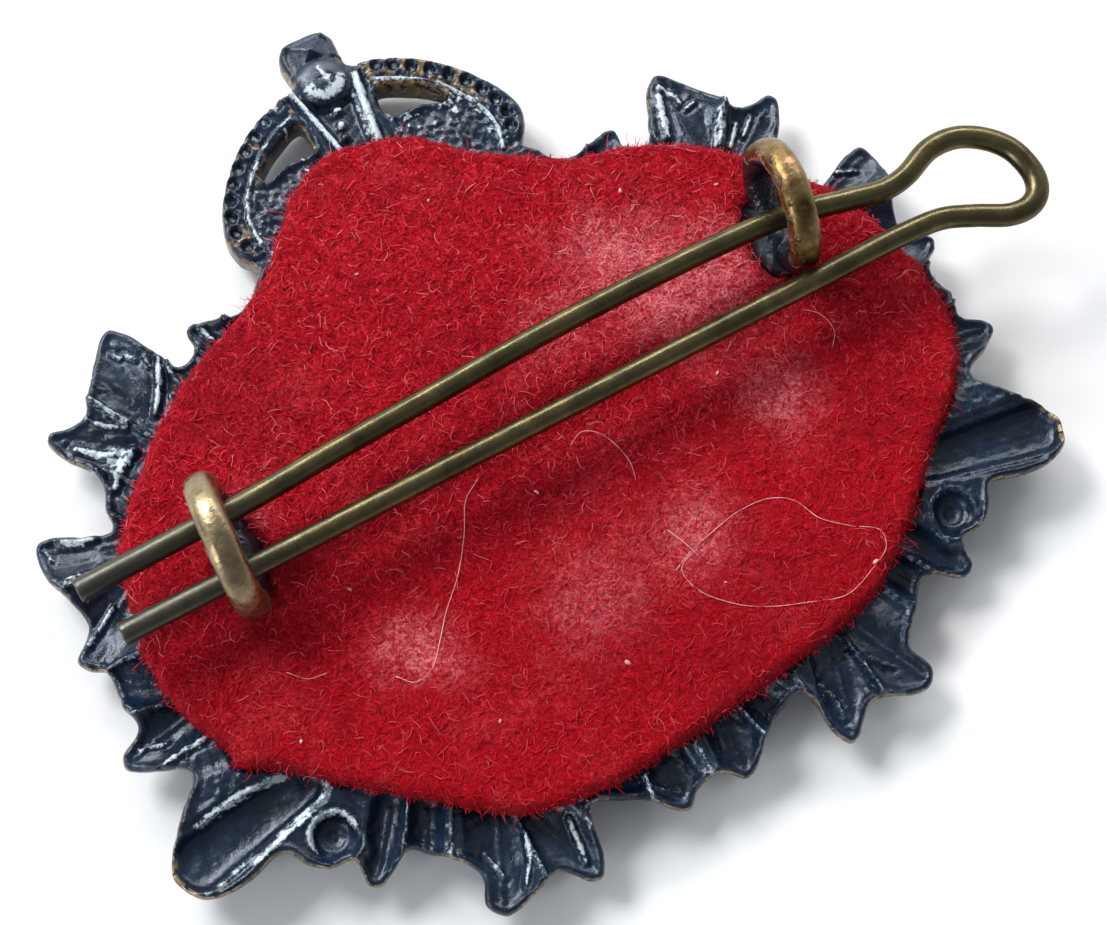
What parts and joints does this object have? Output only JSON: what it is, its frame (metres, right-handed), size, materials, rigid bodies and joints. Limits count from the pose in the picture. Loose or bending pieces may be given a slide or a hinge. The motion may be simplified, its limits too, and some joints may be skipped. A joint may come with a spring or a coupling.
{
  "type": "cap badge",
  "caption": "Wreath-and-crown cap badge lying face down: struck plate with felt backing, two ring lugs and a bent-wire pin that slides out of the lugs.",
  "frame": {"origin": "centre of the flat front face of the middle field, which is the lowest face the badge rests on", "axes": "+X along the retaining pin towards its eye, +Y towards the crown, +Z out of the badge's back"},
  "size_m": [0.0509, 0.0435, 0.0094],
  "materials": {
    "plate_lacquer": "struck brass under worn blue-black lacquer",
    "red_felt": "wool felt with a short nap",
    "lug_brass": "lacquer worn through to brown brass on top, black below",
    "braze": "blackened brazing metal",
    "pin_brass": "tarnished brass wire"
  },
  "bodies": {
    "badge": {"badge_plate": "plate_lacquer", "felt_backing": "red_felt", "lug_left": "lug_brass", "lug_right": "lug_brass", "lug_left_braze": "braze", "lug_right_braze": "braze"},
    "pin": {"cotter_pin": "pin_brass"}
  },
  "joints": [
    {"name": "pin_slide", "type": "slide", "parent": "badge", "child": "pin", "axis": [0.9999, 0.014, 0], "range_m": [0, 0.039]}
  ]
}
